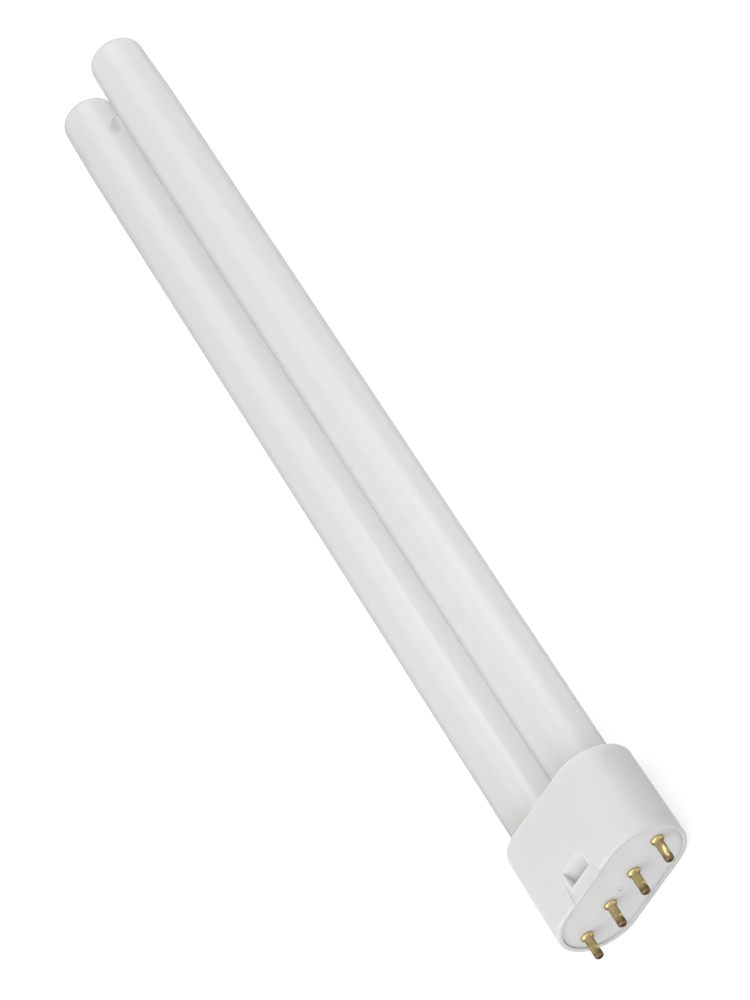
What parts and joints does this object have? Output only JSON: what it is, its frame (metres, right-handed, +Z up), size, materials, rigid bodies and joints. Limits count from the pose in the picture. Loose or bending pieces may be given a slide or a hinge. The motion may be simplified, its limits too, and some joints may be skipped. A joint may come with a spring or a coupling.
{
  "type": "compact fluorescent lamp",
  "caption": "Long twin-tube compact fluorescent lamp: parallel coated glass legs joined by a fused bridge, in a white moulded cap with contact pins in a line.",
  "frame": {"origin": "middle of the box round the lamp, on the surface it lies on", "axes": "+X along the lamp towards the pins, +Y along the row of pins, +Z up, across the cap's thickness"},
  "size_m": [0.3226, 0.0438, 0.0235],
  "materials": {
    "coated_glass": "smooth glass over a white phosphor coat, opaque, semi-gloss",
    "cap_plastic": "white moulded polyester, satin",
    "plate_plastic": "white moulded polyester, satin",
    "pin_brass": "drawn brass, lightly toned",
    "lead_metal": "plain nickel-plated wire",
    "bonding_compound": "dull white compound"
  },
  "bodies": {
    "root": {"discharge_tube": "coated_glass", "cap_shell": "cap_plastic", "pin_plate": "plate_plastic", "cement_left": "bonding_compound", "cement_right": "bonding_compound", "contact_pin_1": "pin_brass", "contact_pin_2": "pin_brass", "contact_pin_3": "pin_brass", "contact_pin_4": "pin_brass", "lead_wire_1": "lead_metal", "lead_wire_2": "lead_metal", "lead_wire_3": "lead_metal", "lead_wire_4": "lead_metal"}
  },
  "joints": []
}
